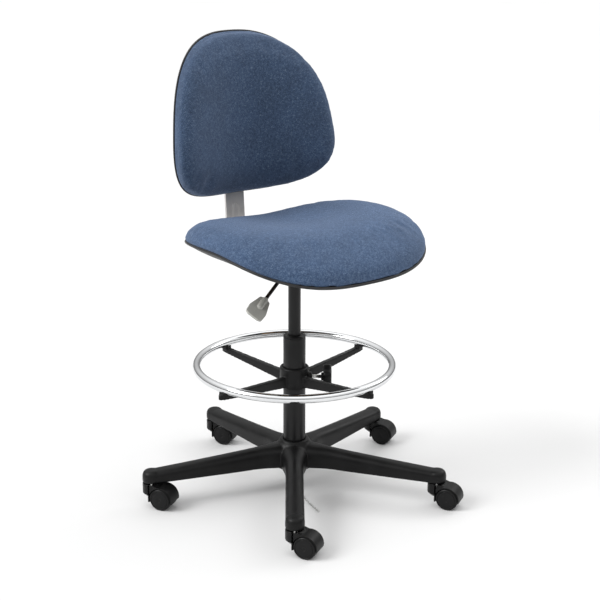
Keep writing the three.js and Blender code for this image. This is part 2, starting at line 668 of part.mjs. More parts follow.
// ---- Assembly ----
const chair = group(
  [...COLUMN_AT, 0], 0,
  node("base_star", baseStar(), "nylon"),
  ...[...Array(ARMS).keys()].map(caster),
  ...lift(),
  ...footring(),
  ...mechanism(),
  seat(),
  ...backSupport(),
  ...back(),
  ...chain(),
);

export default chair;
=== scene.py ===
"""Looks of the drafting chair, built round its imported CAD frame.

Shapes are drawn in millimetres about the column's axis and set down in the part's frame in metres.
The sitter looks along -Y, and the sitter's right is -X.
"""
import math

import bmesh
import bpy
import numpy as np
from mathutils import Matrix, Vector


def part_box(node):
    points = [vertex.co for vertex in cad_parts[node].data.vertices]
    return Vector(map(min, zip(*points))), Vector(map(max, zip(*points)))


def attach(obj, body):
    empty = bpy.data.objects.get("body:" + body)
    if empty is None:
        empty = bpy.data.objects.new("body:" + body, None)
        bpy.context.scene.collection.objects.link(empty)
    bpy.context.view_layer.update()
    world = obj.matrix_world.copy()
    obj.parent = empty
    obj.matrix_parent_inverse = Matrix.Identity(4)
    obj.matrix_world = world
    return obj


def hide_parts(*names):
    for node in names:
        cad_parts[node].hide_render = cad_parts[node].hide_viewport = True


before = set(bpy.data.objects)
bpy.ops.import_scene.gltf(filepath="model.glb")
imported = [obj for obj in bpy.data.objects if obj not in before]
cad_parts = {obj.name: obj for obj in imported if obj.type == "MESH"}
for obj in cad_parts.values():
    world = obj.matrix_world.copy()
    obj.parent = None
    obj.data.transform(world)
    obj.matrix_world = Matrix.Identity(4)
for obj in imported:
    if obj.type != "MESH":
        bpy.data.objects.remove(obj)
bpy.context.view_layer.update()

MM = 0.001
TAU = 2 * math.pi
column_low, column_high = (Vector(corner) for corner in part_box("column_tube"))
COLUMN = Vector(((column_low.x + column_high.x) / 2, (column_low.y + column_high.y) / 2, 0))

# ---- Driving dimensions, in millimetres about the column's axis ----
ARMS = 5
FIRST_ARM = -126.7
STEM_CIRCLE = 333
ARM_HALF_WIDTH = 20
ARM_ROOT, ARM_TIP = (60, 113), (58, 85)  # heights of the arm's underside and back
HUB_CORE = 60
TRAIL, TRAIL_HEADING = 29, -60
WHEEL_RADIUS, WHEEL_SIDES = 25, 16  # the CAD wheel stands on one of its flats
AXLE_HEIGHT = WHEEL_RADIUS * math.cos(math.pi / WHEEL_SIDES)
HOOD_RADIUS, HOOD_WIDTH, HOOD_TOP, HOOD_NOSE = 28, 41, 56, 20.5

TUBE_TOP, TUBE_RADIUS, TUBE_BORE = 361, 25, 22.6
CYLINDER_RADIUS = 14
RING_RADIUS, RING_TUBE, RING_HEIGHT = 219, 9.5, 297
FIRST_SPOKE = 9.5
CLAMP_HEADING, CLAMP_HEIGHT = -39, 268

LEVER_HEADING, LEVER_DROOP, LEVER_HEIGHT = 210, 16.6, 538
PADDLE_START, PADDLE_END, PADDLE_ROLL = 163, 231, -38

SEAT = dict(half_width=243, back=218, front=212, power=2.8, forward=42)
SEAT_RIM = dict(height=590, drop=36, drop_power=3.5, curl=20, rear=-10)
SEAT_CROWN, SEAT_DISH, SEAT_SIDE, SEAT_FLOOR = 54, 20, 8, 562

BACK = dict(half_width=199, up=186, down=168, up_power=2.6, down_power=3.0, narrowing=0.14)
BACK_Y, BACK_Z, BACK_LEAN, BACK_CURVE = 223.7, 825, 0.068, 0.0035
BACK_CROWN, BACK_CROWN_POWER, BACK_REAR = 59, 3.4, 8.6
BACK_HOLLOW, HOLLOW_ACROSS, HOLLOW_UP, HOLLOW_BELOW = 15, 105, 150, 15

PAD_RINGS, PAD_SIDES = 22, 180
PAD_OVERHANG, PAD_UNFILLED = 1.004, 3.5  # the pads are drawn a little flat, for the cloth run to fill
PAD_VOXEL, PUFF_CAP = 5, 5
PUFF_STEPS = 20
SHELL_RINGS, SHELL_SIDES = 16, 160
STRIP_RADIUS = 3

BAR_WIDTH, BAR_THICK, BAR_LEVEL, BAR_BEND, BAR_BEHIND = 50.8, 6, 545, 32, 20
HEIGHT_KNOB_UP = -62
RIB_START, RIB_TOP, RIB_HALF_WIDTH = 125, 626, 12

SMALL_KNOB, CLAMP_KNOB = (21, 16, 6), (29, 18, 6)  # radius, thickness and lobes

CHAIN_ROUTE = [
    (-13, -39, 43), (-14.5, -43, 33), (-16.5, -48, 21), (-19, -54.5, 10.5), (-22, -62, 4.4),
    (-25, -70, 2.3), (-28.5, -82, 2.2), (-32, -95, 2.2), (-35, -108, 2.2), (-38, -122, 2.2),
    (-40.5, -135, 2.2), (-42.7, -147.6, 2.2),
]
CHAIN_DIAMETER, LINK_WIRE, LINK_PITCH = 4.2, 0.42, 4.3
LINK_FIRST_TWIST = 35

CAMERA_DISTANCE, CAMERA_HEIGHT, CAMERA_PITCH = 2858.1, 1313.3, 16.869
CHAIR_TURN = 37  # degrees from the camera's side of the chair to the sitter's way
CAMERA_YAW, CAMERA_ROLL = 0.243, -0.164
CAMERA_LENS = 81.04

FLOOR_HALF = 40  # metres
LAMPS = (  # name, kind, place in metres in the camera's frame, softness, power
    ("key", "SUN", (-2.4, -0.9, 2.5), 0.5, 1.9),
    ("rim", "AREA", (2.6, 1.6, 2.4), 1.4, 22),
)


# ---- Small geometry tools ----
def heading(degrees, radius=1.0, z=0.0):
    angle = math.radians(degrees)
    return Vector((radius * math.cos(angle), radius * math.sin(angle), z))


def turn(degrees, axis="Z"):
    return Matrix.Rotation(math.radians(degrees), 4, axis)


def shift(x=0, y=0, z=0):
    return Matrix.Translation((x, y, z))


def new_piece(name, points, faces, material, smooth=True):
    """A mesh object from points in millimetres about the column's axis."""
    mesh = bpy.data.meshes.new(name)
    mesh.from_pydata([Vector(p) * MM + COLUMN for p in points], [], faces)
    mesh.polygons.foreach_set("use_smooth", [smooth] * len(mesh.polygons))
    mesh.update()
    mesh.materials.append(material)
    piece = bpy.data.objects.new(name, mesh)
    bpy.context.collection.objects.link(piece)
    return piece


def settle(piece, body, slot, *nodes):
    """Declares what a piece moves with and which CAD nodes it stands for; its slot argument is not used."""
    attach(piece, body)
    if nodes:
        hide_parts(*nodes)
    return piece


def moved(shape, matrix):
    points, faces = shape
    return [matrix @ Vector(p) for p in points], faces


def joined(*shapes):
    points, faces = [], []
    for some_points, some_faces in shapes:
        start = len(points)
        points.extend(some_points)
        faces.extend([tuple(i + start for i in face) for face in some_faces])
    return points, faces


def fillet(outline, radius, steps=4, closed=False):
    """Rounds a 2D outline's corners; radius is one number, or one for each corner."""
    count = len(outline)
    radii = [radius] * count if isinstance(radius, (int, float)) else radius
    done = []
    for i, corner in enumerate(outline):
        here = Vector(corner)
        if radii[i] <= 0 or (not closed and i in (0, count - 1)):
            done.append(tuple(here))
            continue
        before, after = Vector(outline[i - 1]) - here, Vector(outline[(i + 1) % count]) - here
        half = before.angle(after) / 2
        reach = min(radii[i] / math.tan(half), before.length * 0.49, after.length * 0.49)
        start, end = here + before.normalized() * reach, here + after.normalized() * reach
        for k in range(steps + 1):
            t = k / steps
            done.append(tuple((1 - t) ** 2 * start + 2 * t * (1 - t) * here + t * t * end))
    return done


def lathe(outline, sides=64, close=False):
    """Turns a list of (radius, height) about Z; an outline that closes on itself is a ring."""
    points, faces = [], []
    rings = []
    for radius, height in outline:
        if radius < 1e-6:
            rings.append([len(points)])
            points.append((0, 0, height))
            continue
        rings.append(list(range(len(points), len(points) + sides)))
        points.extend((radius * math.cos(TAU * i / sides), radius * math.sin(TAU * i / sides), height)
                      for i in range(sides))
    pairs = list(zip(rings, rings[1:] + rings[:1])) if close else list(zip(rings, rings[1:]))
    for lower, upper in pairs:
        for i in range(sides):
            j = (i + 1) % sides
            corners = [lower[i % len(lower)], lower[j % len(lower)],
                       upper[j % len(upper)], upper[i % len(upper)]]
            face = tuple(dict.fromkeys(corners))
            if len(face) > 2:
                faces.append(face)
    return points, faces


def plug(radius, low, high, sides):
    """A plain cylinder about Z between two heights."""
    return lathe([(0, low), (radius, low), (radius, high), (0, high)], sides)


def sweep(path, section, closed=False):
    """Carries a closed 2D section along a path of points; open ends are capped."""
    path = [Vector(p) for p in path]
    count, around = len(path), len(section)
    points, faces = [], []
    normal = None
    for i, here in enumerate(path):
        if closed:
            along = (path[(i + 1) % count] - path[i - 1]).normalized()
        else:
            along = (path[min(i + 1, count - 1)] - path[max(i - 1, 0)]).normalized()
        if normal is None:
            normal = along.orthogonal() if abs(along.z) > 0.95 else along.cross((0, 0, 1))
        normal = (normal - along * normal.dot(along)).normalized()
        binormal = along.cross(normal)
        points.extend(here + normal * u + binormal * v for u, v in section)
    spans = count if closed else count - 1
    for i in range(spans):
        for k in range(around):
            a, b = i * around + k, i * around + (k + 1) % around
            c, d = ((i + 1) % count) * around + (k + 1) % around, ((i + 1) % count) * around + k
            faces.append((a, b, c, d))
    if not closed:
        faces.append(tuple(reversed(range(around))))
        faces.append(tuple(range((count - 1) * around, count * around)))
    return points, faces


def ring_section(radius, sides=12):
    return [(radius * math.cos(TAU * i / sides), radius * math.sin(TAU * i / sides))
            for i in range(sides)]


def prism(outline, depth, axis="X"):
    """Extrudes a 2D outline, centred: YZ outlines go along X, XZ along Y, XY along Z."""
    put = {"X": lambda u, v, w: (w, u, v),
           "Y": lambda u, v, w: (u, -w, v),
           "Z": lambda u, v, w: (u, v, w)}[axis]
    count = len(outline)
    points = [put(u, v, -depth / 2) for u, v in outline] + [put(u, v, depth / 2) for u, v in outline]
    faces = [(i, (i + 1) % count, count + (i + 1) % count, count + i) for i in range(count)]
    faces += [tuple(reversed(range(count))), tuple(range(count, 2 * count))]
    return points, faces


def block(low, high):
    (x0, y0, z0), (x1, y1, z1) = low, high
    shape = prism([(x0, y0), (x1, y0), (x1, y1), (x0, y1)], z1 - z0, "Z")
    return moved(shape, shift(z=(z0 + z1) / 2))


def apply_modifiers(piece):
    """Replaces a piece's mesh with what its modifiers make of it."""
    graph = bpy.context.evaluated_depsgraph_get()
    mesh = bpy.data.meshes.new_from_object(piece.evaluated_get(graph))
    piece.modifiers.clear()
    piece.data = mesh
    return piece


def bevelled(piece, width, segments=3, angle=35):
    """Rounds a piece's edges by a width in millimetres."""
    bevel = piece.modifiers.new("bevel", "BEVEL")
    bevel.width = width * MM
    bevel.segments = segments
    bevel.limit_method = "ANGLE"
    bevel.angle_limit = math.radians(angle)
    bevel.harden_normals = True
    return piece


def carve(piece, cutter, overlapping=False):
    """Cuts one piece out of another; overlapping says that either is several solids in one."""
    cut = piece.modifiers.new("carve", "BOOLEAN")
    cut.operation = "DIFFERENCE"
    cut.object = cutter
    cut.solver = "EXACT"
    cut.use_self = overlapping


def fuse(piece, voxel):
    """Remeshes a piece's overlapping solids into one skin."""
    remesh = piece.modifiers.new("fuse", "REMESH")
    remesh.mode = "VOXEL"
    remesh.voxel_size = voxel * MM
    remesh.use_smooth_shade = True


def soften(piece, rounds):
    smooth = piece.modifiers.new("soften", "SMOOTH")
    smooth.factor = 0.5
    smooth.iterations = rounds


def cast(piece, voxel, relax, cutters=()):
    """Cuts a piece, fuses it into one skin, as a moulding is, and softens its edges."""
    for cutter in cutters:
        carve(piece, cutter, overlapping=True)
    fuse(piece, voxel)
    soften(piece, relax)
    apply_modifiers(piece)
    for cutter in cutters:
        bpy.data.objects.remove(cutter)
    return piece


def superellipse(angle, half_width, far, near, far_power, near_power):
    c, s = math.cos(angle), math.sin(angle)
    reach, power = (far, far_power) if s >= 0 else (near, near_power)
    bent = lambda v: math.copysign(abs(v) ** (2 / power), v)
    return half_width * bent(c), reach * bent(s)


def even_angles(outline, count):
    """Angles that space an outline's points evenly along it."""
    fine = [i * TAU / 1440 for i in range(1441)]
    points = [Vector(outline(a)) for a in fine]
    run = np.cumsum([0] + [(b - a).length for a, b in zip(points, points[1:])])
    return [float(np.interp(run[-1] * i / count, run, fine)) for i in range(count)]


def disc_grid(outline, height, shares, sides):
    """A round grid over an outline: its points from height(x, y, share), with its centre last."""
    points, faces = [], []
    angles = even_angles(outline, sides)
    for share in shares:
        for angle in angles:
            x, y = (share * v for v in outline(angle))
            points.append((x, y, height(x, y, share)))
    points.append((0, 0, height(0, 0, 0)))
    for r in range(len(shares) - 1):
        for i in range(sides):
            j = (i + 1) % sides
            faces.append((r * sides + i, r * sides + j, (r + 1) * sides + j, (r + 1) * sides + i))
    last = (len(shares) - 1) * sides
    faces.extend((last + i, last + (i + 1) % sides, len(points) - 1) for i in range(sides))
    return points, faces


def pad(outline, under, over, shares, sides):
    """A closed pad: its upper face, its lower face and the wall between their rims."""
    top_points, top_faces = disc_grid(outline, over, shares, sides)
    low_points, low_faces = disc_grid(outline, under, shares, sides)
    start = len(top_points)
    faces = list(top_faces)
    faces += [tuple(start + i for i in reversed(face)) for face in low_faces]
    faces += [(start + i, start + (i + 1) % sides, (i + 1) % sides, i) for i in range(sides)]
    return top_points + low_points, faces


# ---- Materials ----
class Paint:
    """A principled material with a few shorthand ways to add procedural nodes."""

    def __init__(self, name, **settings):
        self.material = bpy.data.materials.new(name)
        self.material.use_nodes = True
        self.tree = self.material.node_tree
        self.shader = self.tree.nodes["Principled BSDF"]
        for socket, value in settings.items():
            self.shader.inputs[socket.replace("_", " ")].default_value = value
        self.place = self.add("ShaderNodeTexCoord").outputs["Object"]

    def add(self, kind, **inputs):
        node = self.tree.nodes.new(kind)
        for socket, value in inputs.items():
            self.feed(node.inputs[socket.replace("_", " ")], value)
        return node

    def feed(self, socket, value):
        if isinstance(value, bpy.types.NodeSocket):
            self.tree.links.new(value, socket)
        else:
            socket.default_value = value

    def noise(self, scale, detail=2.0, stretch=(1, 1, 1)):
        place = self.add("ShaderNodeMapping", Vector=self.place, Scale=stretch).outputs[0]
        return self.add("ShaderNodeTexNoise", Vector=place, Scale=scale, Detail=detail).outputs[0]

    def wave(self, direction, scale, twist=0.0):
        node = self.add("ShaderNodeTexWave", Vector=self.place, Scale=scale, Distortion=twist)
        node.bands_direction = direction
        return node.outputs["Fac"]

    def ramp(self, value, *stops):
        node = self.add("ShaderNodeValToRGB", Fac=value)
        stops = [(at, color if len(color) == 4 else (*color, 1)) for at, color in stops]
        elements = node.color_ramp.elements
        elements[0].position, elements[0].color = stops[0]
        elements[1].position, elements[1].color = stops[-1]
        for at, color in stops[1:-1]:
            elements.new(at).color = color
        return node.outputs[0]

    def span(self, value, low, high, start=0.3, end=0.7):
        node = self.add("ShaderNodeMapRange", Value=value)
        for socket, number in (("From Min", start), ("From Max", end), ("To Min", low), ("To Max", high)):
            node.inputs[socket].default_value = number
        return node.outputs[0]

    def math(self, operation, a, b):
        node = self.add("ShaderNodeMath")
        node.operation = operation
        self.feed(node.inputs[0], a)
        self.feed(node.inputs[1], b)
        return node.outputs[0]

    def mix(self, share, a, b):
        node = self.add("ShaderNodeMix")
        node.data_type = "RGBA"
        self.feed(node.inputs["Factor"], share)
        self.feed(node.inputs[6], a)
        self.feed(node.inputs[7], b)
        return node.outputs[2]

    def color(self, value):
        self.feed(self.shader.inputs["Base Color"], value)
        return self

    def rough(self, value):
        self.feed(self.shader.inputs["Roughness"], value)
        return self

    def bump(self, height, strength, distance):
        normal = self.add("ShaderNodeBump", Height=height, Strength=strength, Distance=distance * MM)
        self.feed(self.shader.inputs["Normal"], normal.outputs[0])
        return self


def fabric(name, up_axis, depth):
    """Heathered blue upholstery: dark and light yarns in a plain weave, with a soft nap; depth scales the
    whole colour as painted light and shade.
    """
    paint = Paint(name, Sheen_Weight=0.25, Sheen_Roughness=0.5, Sheen_Tint=(0.55, 0.7, 1, 1))
    yarn = paint.noise(620, 3)
    slub = paint.noise(170, 2)
    cloud = paint.noise(14, 2)
    speck = paint.math("ADD", paint.math("MULTIPLY", yarn, 0.72), paint.math("MULTIPLY", slub, 0.28))
    heather = paint.ramp(speck, (0.34, (0.017, 0.040, 0.095)), (0.47, (0.047, 0.090, 0.180)),
                         (0.56, (0.072, 0.130, 0.245)), (0.68, (0.20, 0.28, 0.41)))
    # depth scales the whole cloth: painted light for the seat's top and painted shade for the back's
    # upright face, on top of the cloud's random tone.
    cloud_and_painted_shade = paint.ramp(cloud, (0.35, [depth * 0.92] * 3), (0.65, [depth * 1.08] * 3))
    heather_with_painted_shade = paint.add("ShaderNodeMix")
    heather_with_painted_shade.data_type = "RGBA"
    heather_with_painted_shade.blend_type = "MULTIPLY"
    heather_with_painted_shade.inputs["Factor"].default_value = 1
    paint.feed(heather_with_painted_shade.inputs[6], heather)
    paint.feed(heather_with_painted_shade.inputs[7], cloud_and_painted_shade)
    weave = paint.math("MAXIMUM", paint.wave("X", 190, 1.2), paint.wave(up_axis, 190, 1.2))
    relief = paint.math("ADD", paint.math("MULTIPLY", weave, 0.6), paint.math("MULTIPLY", yarn, 0.8))
    paint.color(heather_with_painted_shade.outputs[2])
    paint.rough(paint.span(yarn, 0.86, 0.98))
    return paint.bump(relief, 0.55, 0.5).material


def nylon(name, tone=0.014, gloss=0.4, grain=850):
    """Moulded black nylon with a fine pebble and faint flow variation."""
    paint = Paint(name, Specular_IOR_Level=0.2)
    pebble = paint.noise(grain, 2)
    flow = paint.noise(22, 3)
    dark, light = (tone * 0.8, tone * 0.8, tone * 0.84), (tone * 1.3, tone * 1.3, tone * 1.34)
    paint.color(paint.ramp(flow, (0.3, dark), (0.7, light)))
    paint.rough(paint.span(flow, gloss - 0.06, gloss + 0.08))
    return paint.bump(pebble, 0.25, 0.12).material


def powder_coat(name, color, gloss, peel=420):
    """Sprayed powder coat: an even colour with a faint orange peel."""
    paint = Paint(name, Specular_IOR_Level=0.3)
    peel_noise = paint.noise(peel, 1)
    soft = paint.noise(30, 3)
    paint.color(paint.ramp(soft, (0.3, [c * 0.88 for c in color]), (0.7, [c * 1.1 for c in color])))
    paint.rough(paint.span(soft, gloss - 0.05, gloss + 0.07))
    return paint.bump(peel_noise, 0.18, 0.1).material


def metal(name, color, gloss, brush=(1, 1, 1), scale=90):
    paint = Paint(name, Metallic=1.0)
    streak = paint.noise(scale, 4, brush)
    smear = paint.noise(18, 3)
    paint.color(paint.ramp(smear, (0.3, [c * 0.93 for c in color]), (0.7, color)))
    paint.rough(paint.span(streak, gloss * 0.7, gloss * 1.4))
    return paint.bump(streak, 0.04, 0.05).material


def plywood(name):
    paint = Paint(name)
    grain = paint.noise(60, 6, (1, 12, 1))
    paint.color(paint.ramp(grain, (0.3, (0.30, 0.17, 0.08)), (0.7, (0.55, 0.37, 0.2))))
    paint.rough(paint.span(grain, 0.6, 0.8))
    return paint.bump(grain, 0.2, 0.2).material


# One fabric in two copies: the seat's is painted lighter, as painted light on its top, and the back's
# darker, as painted shade on its upright face.
SEAT_CLOTH = fabric("seat_fabric", "Y", 0.72)
BACK_CLOTH = fabric("back_fabric", "Z", 0.56)
BASE_NYLON = nylon("base_nylon", 0.005, 0.4, 700)
SHELL_NYLON = nylon("shell_nylon", 0.009, 0.46, 500)
SMALL_NYLON = nylon("small_nylon", 0.005, 0.4, 1100)
WHEEL_NYLON = nylon("wheel_nylon", 0.006, 0.36, 1200)
# The trim's tone is lighter than the other black nylon: a painted highlight for the light grey line along
# its edge.
TRIM_VINYL = nylon("trim_vinyl", 0.03, 0.34, 900)
BLACK_STEEL = powder_coat("black_steel", (0.005, 0.005, 0.0054), 0.34)
GREY_STEEL = powder_coat("grey_steel", (0.52, 0.50, 0.485), 0.42)
GREY_GRIP = powder_coat("grey_grip", (0.44, 0.44, 0.41), 0.5, 900)
CHROME = metal("chrome", (0.8, 0.81, 0.82), 0.06)
ZINC = metal("zinc_steel", (0.62, 0.62, 0.6), 0.3, (1, 1, 6), 160)
PLYWOOD = plywood("plywood")


def camera():
    """A camera at the height, distance and turn that the chair is seen from."""
    data = bpy.data.cameras.new("camera")
    data.lens = CAMERA_LENS
    data.sensor_width = 36
    eye = bpy.data.objects.new("camera", data)
    bpy.context.collection.objects.link(eye)
    spot = turn(-CHAIR_TURN) @ Vector((0, -CAMERA_DISTANCE, CAMERA_HEIGHT))
    aim = turn(-CHAIR_TURN) @ turn(-CAMERA_YAW) @ turn(90 - CAMERA_PITCH, "X") @ turn(-CAMERA_ROLL, "Z")
    eye.matrix_world = Matrix.Translation(spot * MM + COLUMN) @ aim
    bpy.context.scene.camera = eye


def smooth_path(points, per_span=12):
    """A Catmull-Rom curve through the points."""
    points = [Vector(p) for p in points]
    padded = [points[0] * 2 - points[1], *points, points[-1] * 2 - points[-2]]
    line = []
    for a, b, c, d in zip(padded, padded[1:], padded[2:], padded[3:]):
        for k in range(per_span):
            t = k / per_span
            line.append(0.5 * (2 * b + (c - a) * t + (2 * a - 5 * b + 4 * c - d) * t * t
                               + (3 * b - a - 3 * c + d) * t ** 3))
    return line + [points[-1]]


def along_line(line, distance):
    """The point and direction at a distance along a line of points."""
    for a, b in zip(line, line[1:]):
        step = (b - a).length
        if distance <= step or b is line[-1]:
            return a.lerp(b, min(1, distance / step)), (b - a).normalized()
        distance -= step


def drag_chain():
    """Steel oval links, each turned a quarter from the last, along the chain's route."""
    line = smooth_path(CHAIN_ROUTE)
    length = sum((b - a).length for a, b in zip(line, line[1:]))
    width = CHAIN_DIAMETER / 2 - LINK_WIRE
    stretch = (LINK_PITCH + 2 * LINK_WIRE) / 2 - width
    oval = []
    for i in range(16):
        angle = TAU * i / 16
        oval.append((width * math.cos(angle), 0, width * math.sin(angle)
                     + math.copysign(stretch, math.sin(angle)) * (abs(math.sin(angle)) > 0.01)))
    links = []
    count = int(length / LINK_PITCH)
    for i in range(count):
        spot, along = along_line(line, (i + 0.5) * length / count)
        facing = along.to_track_quat("Z", "Y").to_matrix().to_4x4()
        link = sweep(oval, ring_section(LINK_WIRE, 6), closed=True)
        twist = LINK_FIRST_TWIST + 90 * (i % 2)
        links.append(moved(link, Matrix.Translation(spot) @ facing @ turn(twist)))
    chain = new_piece("chain_links", *joined(*links), ZINC)
    settle(chain, "base", "steel", "drag_chain")


camera()
drag_chain()


# ---- Seat and back surfaces ----
def seat_outline(angle):
    return superellipse(angle, SEAT["half_width"], SEAT["back"], SEAT["front"],
                        SEAT["power"], SEAT["power"])


def smoothstep(t):
    t = min(max(t, 0), 1)
    return t * t * (3 - 2 * t)


def seat_rim(x, y):
    """The rim's height: level at the sides, curled down at the front and a little at the rear."""
    front, rear = max(0, -y / SEAT["front"]), max(0, y / SEAT["back"])
    curl = SEAT_RIM["curl"] * (x / SEAT["half_width"]) ** 2 * (1 - smoothstep(front))
    return (SEAT_RIM["height"] - SEAT_RIM["drop"] * front ** SEAT_RIM["drop_power"]
            + SEAT_RIM["rear"] * rear ** 2 + curl)


def seat_floor(x, y, share):
    rim = seat_rim(x, y) - SEAT_SIDE
    return SEAT_FLOOR + (rim - SEAT_FLOOR) * share ** 4


def seat_top(x, y, share):
    power = SEAT["power"]
    crown = SEAT_CROWN * max(0, 1 - share ** power) ** (1 / power)
    dx, dy = x / (0.6 * SEAT["half_width"]), (y - 0.25 * SEAT["back"]) / (0.55 * SEAT["back"])
    return seat_rim(x, y) + crown - SEAT_DISH * math.exp(-dx * dx - dy * dy)


def back_outline(angle):
    x, y = superellipse(angle, BACK["half_width"], BACK["up"], BACK["down"],
                        BACK["up_power"], BACK["down_power"])
    return x * (1 - BACK["narrowing"] * y / BACK["up"]), y


def on_back(p):
    """Stands a point up on the back: x across, y up its face, z forward of its rim's plane."""
    x, up, forward = p
    return (x, BACK_Y + up * BACK_LEAN - BACK_CURVE * x * x / 2 - forward, BACK_Z + up)


def on_seat(p):
    return (p[0], p[1] - SEAT["forward"], p[2])


def placed(shape, put):
    points, faces = shape
    return [put(p) for p in points], faces


def rim_shares(count, hold=0.25):
    """Shares from the rim inwards, close together at the rim and even further in."""
    return [1 - (hold * t + (1 - hold) * t * t) * 0.97 for t in (i / count for i in range(count + 1))]


# ---- Cushions ----
def bulged(shape, rise, full, share):
    """Pushes a pad's sides out past its rim, most of all halfway up its crown."""
    points, faces = shape
    out = []
    for x, y, z in points:
        up = min(max(rise(x, y, z) / full, 0), 1)
        grow = 1 + share * math.sin(math.pi * up ** 0.7)
        out.append((x * grow, y * grow, z))
    return out, faces


def swell(cushion, voxel, cap, pinned):
    """Fills a pad like foam under cloth: remeshed, puffed by a cloth run, held within cap."""
    fuse(cushion, voxel)
    apply_modifiers(cushion)
    puff(cushion, cap, pinned)
    soften(cushion, 3)
    finer = cushion.modifiers.new("finer", "SUBSURF")
    finer.levels = finer.render_levels = 1
    return apply_modifiers(cushion)


def puff(cushion, cap, pinned):
    """Blows a pad's cloth out by air pressure, with the pinned points held where they are."""
    start = np.array([v.co for v in cushion.data.vertices])
    held = cushion.vertex_groups.new(name="held")
    held.add([i for i, p in enumerate(start) if pinned(Vector(p))], 1.0, "REPLACE")
    cloth = cushion.modifiers.new("cloth", "CLOTH")
    settings = cloth.settings
    settings.use_pressure = True
    settings.uniform_pressure_force = 4
    settings.effector_weights.gravity = 0
    settings.vertex_group_mass = "held"
    settings.quality = 4
    cloth.point_cache.frame_end = PUFF_STEPS
    scene = bpy.context.scene
    for step in range(1, PUFF_STEPS + 1):
        scene.frame_set(step)
    graph = bpy.context.evaluated_depsgraph_get()
    swollen = np.array([v.co for v in cushion.evaluated_get(graph).data.vertices])
    cushion.modifiers.clear()
    scene.frame_set(1)
    move = swollen - start
    reach = np.linalg.norm(move, axis=1, keepdims=True)
    move *= np.minimum(1, cap * MM / np.maximum(reach, 1e-9))
    for vertex, place in zip(cushion.data.vertices, start + move):
        vertex.co = place


def seat_cushion():
    outline = lambda a: tuple(v * PAD_OVERHANG for v in seat_outline(a))
    lower = lambda x, y, s: seat_floor(x, y, s) + 0.5
    upper = lambda x, y, s: seat_top(x, y, s) - PAD_UNFILLED
    shape = bulged(pad(outline, lower, upper, rim_shares(PAD_RINGS), PAD_SIDES),
                   lambda x, y, z: z - seat_rim(x, y) + SEAT_SIDE, SEAT_CROWN + SEAT_SIDE, 0.03)
    cushion = new_piece("seat_pad", *placed(shape, on_seat), SEAT_CLOTH)

    def pinned(point):
        x, y, z = (point - COLUMN) / MM
        y += SEAT["forward"]
        return z < seat_rim(x, y) - 1
    swell(cushion, PAD_VOXEL, PUFF_CAP, pinned)
    settle(cushion, "lift", "blue_fabric", "seat_cushion")


def back_crown(x, y, share):
    """The face's height: full at the bolsters, with a hollow between them for the spine."""
    hollow = BACK_HOLLOW * math.exp(-(x / HOLLOW_ACROSS) ** 2 - ((y + HOLLOW_BELOW) / HOLLOW_UP) ** 2)
    crown = BACK_CROWN * max(0, 1 - share ** BACK_CROWN_POWER) ** (1 / BACK_CROWN_POWER)
    return crown - hollow


def back_cushion():
    outline = lambda a: tuple(v * PAD_OVERHANG for v in back_outline(a))
    lower = lambda x, y, s: -BACK_REAR + 0.4
    upper = lambda x, y, s: back_crown(x, y, s) - PAD_UNFILLED
    shape = bulged(pad(outline, lower, upper, rim_shares(PAD_RINGS), PAD_SIDES),
                   lambda x, y, z: z + BACK_REAR, BACK_CROWN + BACK_REAR, 0.035)
    cushion = new_piece("back_pad", *placed(shape, on_back), BACK_CLOTH)

    def pinned(point):
        x, y, z = (point - COLUMN) / MM
        rim_plane = BACK_Y + (z - BACK_Z) * BACK_LEAN - BACK_CURVE * x * x / 2
        return y > rim_plane + 1
    swell(cushion, PAD_VOXEL, PUFF_CAP, pinned)
    settle(cushion, "backrest", "blue_fabric", "back_cushion")


# ---- Shells and edge strips ----
def edge_strip(outline, height, radius, put, sides=220):
    """A bead that follows a rim, just outside it."""
    section = ring_section(radius, 12)
    points, faces = [], []
    angles = even_angles(outline, sides)
    for angle in angles:
        here = Vector(outline(angle))
        ahead = (Vector(outline(angle + 0.01)) - Vector(outline(angle - 0.01))).normalized()
        out = Vector((ahead.y, -ahead.x))
        for u, v in section:
            side = here + out * (u + radius * 0.75)
            points.append(put((side.x, side.y, height(here.x, here.y) + v)))
    around = len(section)
    for i in range(sides):
        j = (i + 1) % sides
        faces.extend((i * around + k, j * around + k, j * around + (k + 1) % around,
                      i * around + (k + 1) % around) for k in range(around))
    return points, faces


def seat_shell():
    lower = lambda x, y, s: seat_floor(x, y, s) - 4.2 - 1.2 * (1 - s ** 8)
    upper = lambda x, y, s: seat_floor(x, y, s) - 0.2
    tray = pad(seat_outline, lower, upper, rim_shares(SHELL_RINGS), SHELL_SIDES)
    shell = new_piece("seat_underside", *placed(tray, on_seat), SHELL_NYLON)
    settle(shell, "lift", "black_nylon", "seat_shell")
    strip = edge_strip(seat_outline, lambda x, y: seat_rim(x, y) - SEAT_SIDE - 0.5,
                       STRIP_RADIUS, on_seat)
    settle(new_piece("seat_edge_strip", *strip, TRIM_VINYL), "lift", "black_nylon", "seat_trim")


def back_shell():
    lower = lambda x, y, s: -14 - 0.6 * (1 - s ** 8)
    upper = lambda x, y, s: -BACK_REAR - 0.3
    tray = pad(back_outline, lower, upper, rim_shares(SHELL_RINGS), SHELL_SIDES)
    shell = new_piece("back_cover", *placed(tray, on_back), SHELL_NYLON)
    settle(shell, "backrest", "black_nylon", "back_shell")
    strip = edge_strip(back_outline, lambda x, y: -BACK_REAR, STRIP_RADIUS, on_back)
    settle(new_piece("back_edge_strip", *strip, TRIM_VINYL), "backrest", "black_nylon", "back_trim")


